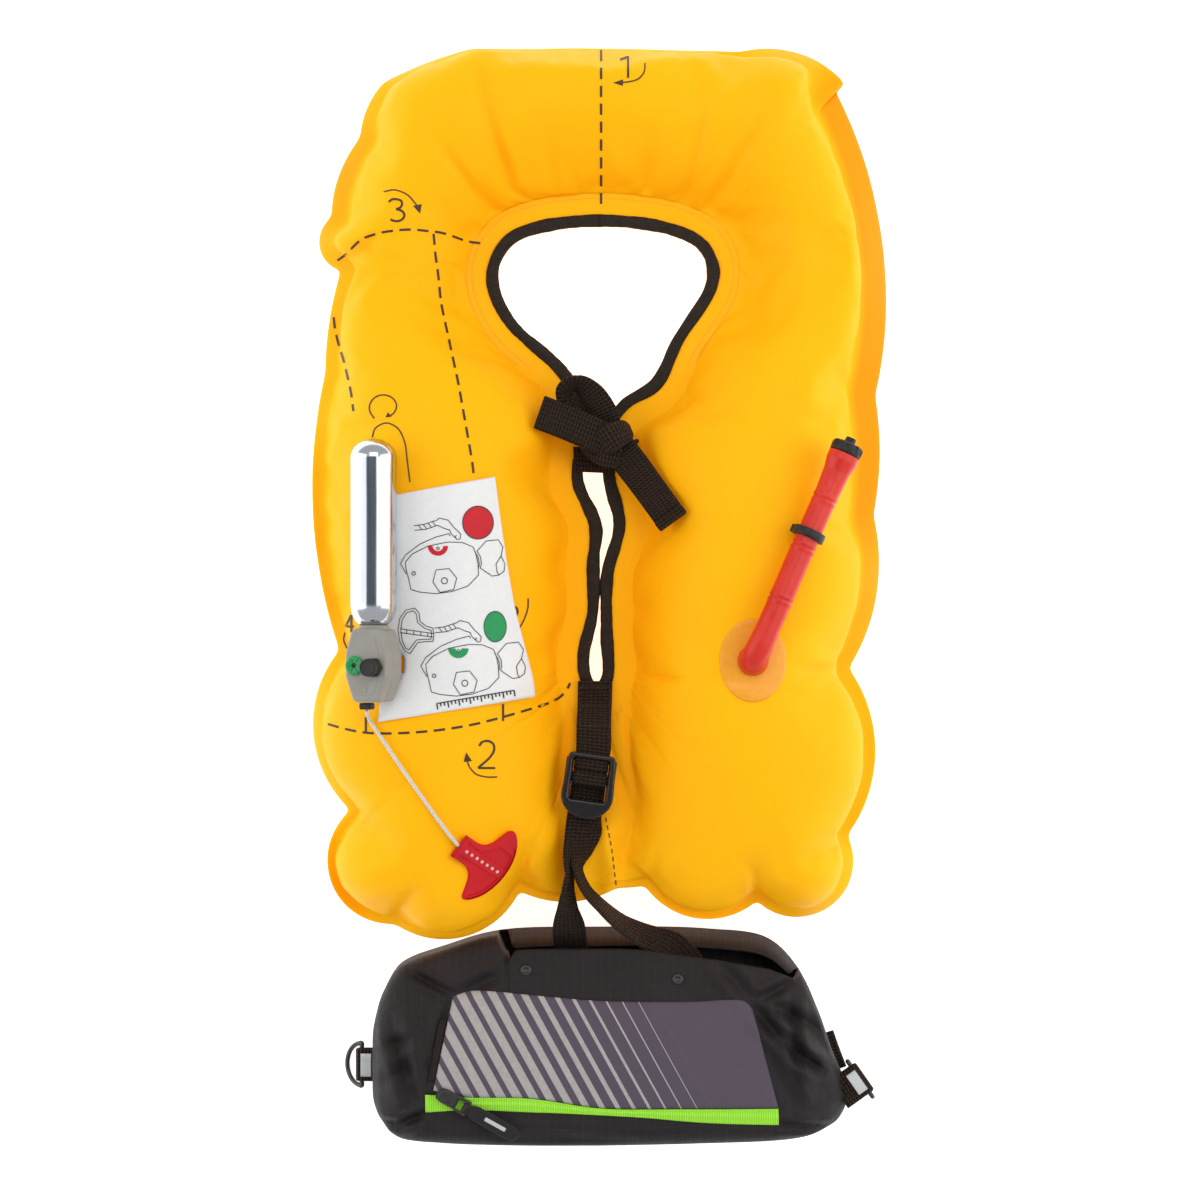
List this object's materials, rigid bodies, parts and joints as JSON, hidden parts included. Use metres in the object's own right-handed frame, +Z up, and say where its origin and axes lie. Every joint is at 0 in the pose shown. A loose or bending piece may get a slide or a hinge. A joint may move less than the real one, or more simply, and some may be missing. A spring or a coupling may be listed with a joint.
{
  "type": "inflatable life vest",
  "caption": "Inflated keyhole-shaped life vest lying front up, with gas inflator, mouth tube, neck tie and adjuster strap running down into its open belt pouch.",
  "frame": {"origin": "middle of the bounding box's bottom face, on the surface that the vest lies on", "axes": "+X to the right of the front view, +Y from the pouch to the collar, +Z up out of the front"},
  "size_m": [0.3205, 0.6113, 0.1404],
  "materials": {
    "bladder_cloth": "satin coated cloth",
    "webbing": "ribbed weave",
    "lock_plastic": "gloss",
    "tube_rubber": "satin",
    "patch_film": "gloss film",
    "valve_plastic": "satin",
    "inflator_plastic": "moulded",
    "indicator_plastic": "gloss",
    "zinc_steel": "bright zinc",
    "card": "satin card",
    "handle_plastic": "satin",
    "cord_braid": "braided",
    "pouch_cloth": "ripstop weave",
    "panel_cloth": "fine weave",
    "zip_cloth": "coated tape",
    "pull_plastic": "satin",
    "ring_metal": "satin black",
    "reflective_tape": "retroreflective"
  },
  "bodies": {
    "vest": {"bladder": "bladder_cloth", "neck_binding": "webbing", "neck_tie": "webbing", "tab_strap": "webbing", "adjuster_strap": "webbing", "ring_tab_left": "webbing", "ring_tab_right": "webbing", "belt_stub": "webbing", "ladder_lock": "lock_plastic", "oral_tube": "tube_rubber", "tube_patch": "patch_film", "tube_cap": "valve_plastic", "tube_clip": "valve_plastic", "inflator_body": "inflator_plastic", "co2_cylinder": "zinc_steel", "arming_indicator": "indicator_plastic", "inflator_cap": "valve_plastic", "inflator_lever": "valve_plastic", "inflator_stem": "valve_plastic", "instruction_tag": "card", "pull_handle": "handle_plastic", "pull_cord": "cord_braid", "pouch_shell": "pouch_cloth", "pouch_panel": "panel_cloth", "zip_tape": "zip_cloth", "side_label": "webbing", "eyelet_left": "ring_metal", "eyelet_right": "ring_metal", "zip_slider": "ring_metal", "reflector_left": "reflective_tape", "reflector_right": "reflective_tape"},
    "left_ring": {"d_ring_left": "ring_metal"},
    "right_ring": {"d_ring_right": "ring_metal"},
    "pull": {"zip_pull": "pull_plastic"}
  },
  "joints": [
    {"name": "left_ring_swing", "type": "hinge", "parent": "vest", "child": "left_ring", "pos_m": [-0.135, -0.2636, 0.009], "axis": [0, 1, 0], "range_deg": [0, 140]},
    {"name": "right_ring_swing", "type": "hinge", "parent": "vest", "child": "right_ring", "pos_m": [0.146, -0.2705, 0.023], "axis": [0.5736, -0.8192, 0], "range_deg": [-10, 160]},
    {"name": "zip_pull_swing", "type": "hinge", "parent": "vest", "child": "pull", "pos_m": [-0.0747, -0.2833, 0.05533], "axis": [-0.4848, -0.8746, 0], "range_deg": [0, 120]}
  ]
}
